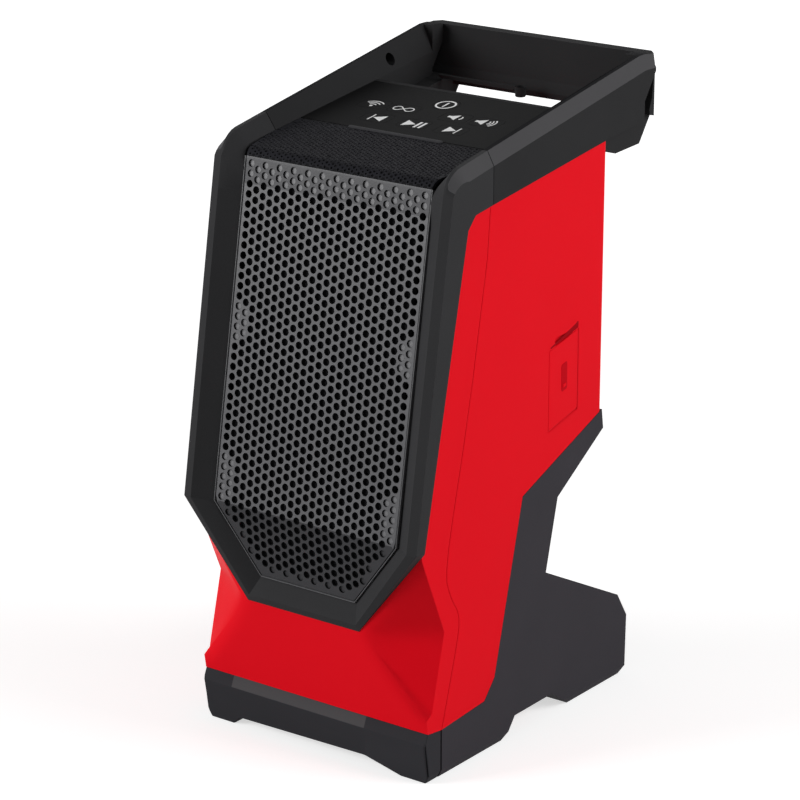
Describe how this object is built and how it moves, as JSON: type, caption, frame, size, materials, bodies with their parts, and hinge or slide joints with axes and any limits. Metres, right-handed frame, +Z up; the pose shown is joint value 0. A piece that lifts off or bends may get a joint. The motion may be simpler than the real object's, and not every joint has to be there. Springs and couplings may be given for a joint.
{
  "type": "portable speaker",
  "caption": "Upright jobsite speaker with a perforated grille in a thick guard frame, rear carry handle, sloping key panel, side door and an empty bay for a stick battery.",
  "frame": {"origin": "on the floor, below the middle of the whole object's bounding box", "axes": "+Z up, +X to the right seen from the front, -Y towards the listener"},
  "size_m": [0.1142, 0.165, 0.2625],
  "materials": {
    "red_shell": "satin",
    "black_grip": "matt",
    "black_base": "fine texture",
    "black_panel": "smooth",
    "key_cap": "smooth matt",
    "light_pipe": "frosted",
    "grille_steel": "black powder coat",
    "cloth": "open weave",
    "inner_plastic": "moulded",
    "bare_steel": "zinc plated",
    "dark_steel": "painted",
    "paper_cone": "pressed",
    "soft_rubber": "moulded",
    "circuit_board": "solder mask",
    "components": "moulded",
    "aluminium": "extruded",
    "copper": "bare",
    "wire_sheath": "smooth"
  },
  "bodies": {
    "housing": {"base_plate": "red_shell", "battery_bay": "inner_plastic", "battery_contacts": "copper", "battery_lead": "wire_sheath", "board_parts": "components", "board_screws": "bare_steel", "control_board": "circuit_board", "control_panel": "black_panel", "door_pin": "bare_steel", "driver_screws": "bare_steel", "foot_pads": "soft_rubber", "front_bumper": "black_grip", "front_shell": "red_shell", "grille": "grille_steel", "grille_bezel": "black_grip", "grille_cloth": "cloth", "handle_frame": "black_grip", "heat_sink": "aluminium", "housing_screws": "bare_steel", "housing_seal": "soft_rubber", "key_switches": "bare_steel", "light_bar": "light_pipe", "main_board": "circuit_board", "port_well": "inner_plastic", "radiator_frame": "inner_plastic", "radiator_surround": "soft_rubber", "radio_module": "bare_steel", "rear_base": "black_base", "rear_shell": "red_shell", "service_port": "bare_steel", "speaker_baffle": "inner_plastic", "speaker_lead": "wire_sheath", "woofer_basket": "dark_steel", "woofer_magnet": "bare_steel", "woofer_surround": "soft_rubber"},
    "key_previous": {"key_previous": "key_cap"},
    "key_play": {"key_play": "key_cap"},
    "key_next": {"key_next": "key_cap"},
    "key_wireless": {"key_wireless": "key_cap"},
    "key_link": {"key_link": "key_cap"},
    "key_volume_down": {"key_volume_down": "key_cap"},
    "key_volume_up": {"key_volume_up": "key_cap"},
    "key_power": {"key_power": "key_cap"},
    "side_door": {"side_door": "red_shell"},
    "woofer_cone": {"woofer_cone": "paper_cone", "voice_coil": "copper"},
    "radiator_plate": {"radiator_plate": "paper_cone"}
  },
  "joints": [
    {"name": "key_previous_press", "type": "slide", "parent": "housing", "child": "key_previous", "axis": [0, 0.1289, -0.9917], "range_m": [0, 0.0005], "stiffness_N_per_m": 1000},
    {"name": "key_play_press", "type": "slide", "parent": "housing", "child": "key_play", "axis": [0, 0.1289, -0.9917], "range_m": [0, 0.0005], "stiffness_N_per_m": 1000},
    {"name": "key_next_press", "type": "slide", "parent": "housing", "child": "key_next", "axis": [0, 0.1289, -0.9917], "range_m": [0, 0.0005], "stiffness_N_per_m": 1000},
    {"name": "key_wireless_press", "type": "slide", "parent": "housing", "child": "key_wireless", "axis": [0, 0.1289, -0.9917], "range_m": [0, 0.0005], "stiffness_N_per_m": 1000},
    {"name": "key_link_press", "type": "slide", "parent": "housing", "child": "key_link", "axis": [0, 0.1289, -0.9917], "range_m": [0, 0.0005], "stiffness_N_per_m": 1000},
    {"name": "key_volume_down_press", "type": "slide", "parent": "housing", "child": "key_volume_down", "axis": [0, 0.1289, -0.9917], "range_m": [0, 0.0005], "stiffness_N_per_m": 1000},
    {"name": "key_volume_up_press", "type": "slide", "parent": "housing", "child": "key_volume_up", "axis": [0, 0.1289, -0.9917], "range_m": [0, 0.0005], "stiffness_N_per_m": 1000},
    {"name": "key_power_press", "type": "slide", "parent": "housing", "child": "key_power", "axis": [0, 0.1289, -0.9917], "range_m": [0, 0.0005], "stiffness_N_per_m": 1000},
    {"name": "door_hinge", "type": "hinge", "parent": "housing", "child": "side_door", "pos_m": [0.0548, 0.01676, 0.12592], "axis": [0, 0.9733, 0.2295], "range_deg": [0, 85]},
    {"name": "woofer_stroke", "type": "slide", "parent": "housing", "child": "woofer_cone", "axis": [0, -0.9761, 0.2174], "range_m": [-0.0015, 0.0015], "stiffness_N_per_m": 1500},
    {"name": "radiator_stroke", "type": "slide", "parent": "housing", "child": "radiator_plate", "axis": [0, -0.9761, 0.2174], "range_m": [-0.002, 0.002], "stiffness_N_per_m": 800}
  ]
}
